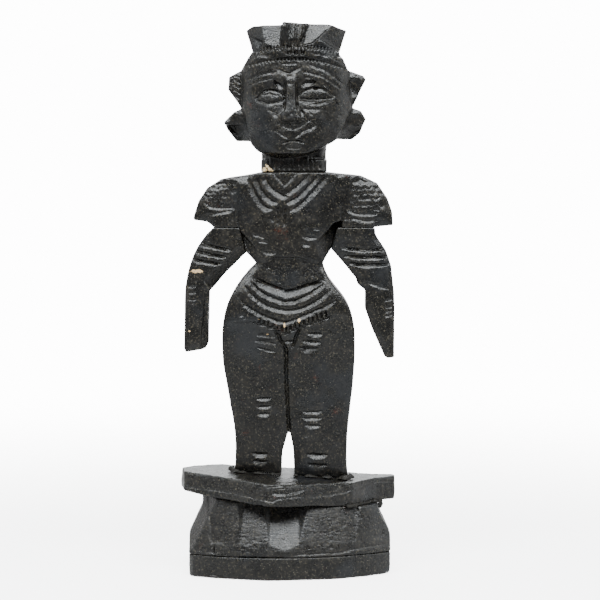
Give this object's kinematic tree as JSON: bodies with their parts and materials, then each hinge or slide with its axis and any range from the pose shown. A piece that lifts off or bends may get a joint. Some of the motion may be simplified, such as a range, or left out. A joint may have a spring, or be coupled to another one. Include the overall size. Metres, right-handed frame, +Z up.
{
  "type": "carved standing figure",
  "caption": "Flat-backed carved wooden figure standing on a slab and sloping plinth, with a flared crown, beaded band, cap sleeves, necklaces, belt and lowered arms, blackened all over",
  "frame": {"origin": "under the middle of the figure's bounding box, on the surface it stands on", "axes": "+Z up through the crown; the figure faces -Y; +X is the figure's left"},
  "size_m": [0.0872, 0.038, 0.2222],
  "materials": {
    "black_wood": "blackened, worn, with knife and gouge facets",
    "bare_wood": "raw",
    "filler": "dull, crumbly",
    "glue": "dried, slightly yellow"
  },
  "bodies": {
    "root": {"base_board": "black_wood", "plinth_block": "black_wood", "foot_slab": "black_wood", "body": "black_wood", "right_arm": "black_wood", "left_arm": "black_wood", "head": "black_wood", "neck_peg": "bare_wood", "right_arm_peg": "bare_wood", "left_arm_peg": "bare_wood", "foot_dowels": "bare_wood", "base_pins": "bare_wood", "foot_filler": "filler", "plinth_filler": "filler", "neck_glue": "glue"}
  },
  "joints": []
}
